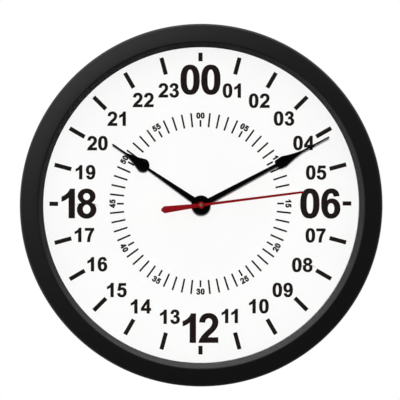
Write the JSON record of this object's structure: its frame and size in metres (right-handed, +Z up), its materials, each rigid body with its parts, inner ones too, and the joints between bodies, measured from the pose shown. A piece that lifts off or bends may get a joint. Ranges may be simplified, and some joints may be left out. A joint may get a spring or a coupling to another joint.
{
  "type": "twenty-four hour wall clock",
  "caption": "Round wall clock with a twenty-four hour dial, satin black moulded frame, flat lens, three hands and a battery quartz movement.",
  "frame": {"origin": "axis of the nail or screw the clock hangs on, where it meets the wall plane", "axes": "+Z up, the dial faces -Y, the wall plane is y = 0 and the hands turn about an axis along Y"},
  "size_m": [0.3556, 0.0445, 0.3556],
  "materials": {
    "frame_plastic": "satin moulded ABS with a fine grain",
    "cover_plastic": "matte moulded ABS",
    "lens_glass": "clear flat glass",
    "dial_face": "matte white",
    "dial_print": "black screen print on the dial",
    "hand_paint": "satin black paint on aluminium",
    "second_hand_paint": "satin red paint on aluminium",
    "brass": "turned, lightly tarnished",
    "zinc_steel": "zinc plated",
    "movement_plastic": "moulded ABS with a spark-eroded grain",
    "wheel_plastic": "moulded acetal",
    "magnet": "sintered, nickel plated",
    "lamination_steel": "stamped soft iron sheet",
    "copper_winding": "enamelled copper wire",
    "circuit_laminate": "green solder mask",
    "chip_resin": "black potting resin",
    "contact_metal": "nickel plated spring strip",
    "soft_rubber": "matte",
    "cell_sleeve": "printed shrink sleeve, plain"
  },
  "bodies": {
    "clock_case": {"front_frame": "frame_plastic", "lens": "lens_glass", "spacer_ring": "frame_plastic", "dial": "dial_face", "rear_cover": "cover_plastic", "cover_screw_1": "zinc_steel", "cover_screw_2": "zinc_steel", "cover_screw_3": "zinc_steel", "cover_screw_4": "zinc_steel", "cover_screw_5": "zinc_steel", "cover_screw_6": "zinc_steel", "hanger_plate": "zinc_steel", "hanger_screw_1": "zinc_steel", "hanger_screw_2": "zinc_steel", "soft_washer": "soft_rubber", "threaded_bush": "brass", "dial_washer": "zinc_steel", "bush_nut": "brass", "movement_case": "movement_plastic", "movement_cover": "movement_plastic", "train_plate": "wheel_plastic", "stator": "lamination_steel", "coil_core": "lamination_steel", "coil_bobbin": "wheel_plastic", "coil_winding": "copper_winding", "circuit_board": "circuit_laminate", "quartz_crystal": "contact_metal", "circuit_chip": "chip_resin", "positive_contact": "contact_metal", "negative_contact": "contact_metal", "battery_cell": "cell_sleeve"},
    "second_hand": {"second_hand": "second_hand_paint", "second_hand_tube": "brass", "seconds_wheel": "wheel_plastic"},
    "minute_hand": {"minute_hand": "hand_paint", "minute_pinion": "wheel_plastic"},
    "hour_hand": {"hour_hand": "hand_paint", "hour_wheel": "wheel_plastic"},
    "motion_wheel": {"motion_wheel": "wheel_plastic", "setting_knob": "movement_plastic"},
    "centre_wheel": {"centre_wheel": "wheel_plastic"},
    "third_wheel": {"third_wheel": "wheel_plastic"},
    "intermediate_wheel": {"intermediate_wheel": "wheel_plastic"},
    "rotor": {"rotor_pinion": "wheel_plastic", "rotor_magnet": "magnet"}
  },
  "joints": [
    {"name": "second_hand_turn", "type": "hinge", "parent": "clock_case", "child": "second_hand", "pos_m": [0, -0.03, -0.132], "axis": [0, 1, 0], "continuous": true},
    {"name": "minute_hand_turn", "type": "hinge", "parent": "clock_case", "child": "minute_hand", "pos_m": [0, -0.03, -0.132], "axis": [0, 1, 0], "continuous": true},
    {"name": "hour_hand_turn", "type": "hinge", "parent": "clock_case", "child": "hour_hand", "pos_m": [0, -0.03, -0.132], "axis": [0, 1, 0], "continuous": true},
    {"name": "motion_wheel_turn", "type": "hinge", "parent": "clock_case", "child": "motion_wheel", "pos_m": [0.00945, -0.01, -0.13367], "axis": [0, 1, 0], "continuous": true},
    {"name": "centre_wheel_turn", "type": "hinge", "parent": "clock_case", "child": "centre_wheel", "pos_m": [0, -0.01, -0.132], "axis": [0, 1, 0], "continuous": true},
    {"name": "third_wheel_turn", "type": "hinge", "parent": "clock_case", "child": "third_wheel", "pos_m": [-0.0094, -0.01, -0.132], "axis": [0, 1, 0], "continuous": true},
    {"name": "intermediate_wheel_turn", "type": "hinge", "parent": "clock_case", "child": "intermediate_wheel", "pos_m": [0.0037, -0.01, -0.12559], "axis": [0, 1, 0], "continuous": true},
    {"name": "rotor_turn", "type": "hinge", "parent": "clock_case", "child": "rotor", "pos_m": [0.00494, -0.01, -0.11856], "axis": [0, 1, 0], "continuous": true}
  ],
  "couplings": [
    {"joint": "intermediate_wheel_turn", "follows": "second_hand_turn", "ratio": -5},
    {"joint": "rotor_turn", "follows": "second_hand_turn", "ratio": 30},
    {"joint": "third_wheel_turn", "follows": "second_hand_turn", "ratio": -0.13333},
    {"joint": "centre_wheel_turn", "follows": "second_hand_turn", "ratio": 0.016667},
    {"joint": "motion_wheel_turn", "follows": "minute_hand_turn", "ratio": -0.25},
    {"joint": "hour_hand_turn", "follows": "minute_hand_turn", "ratio": 0.041667}
  ]
}
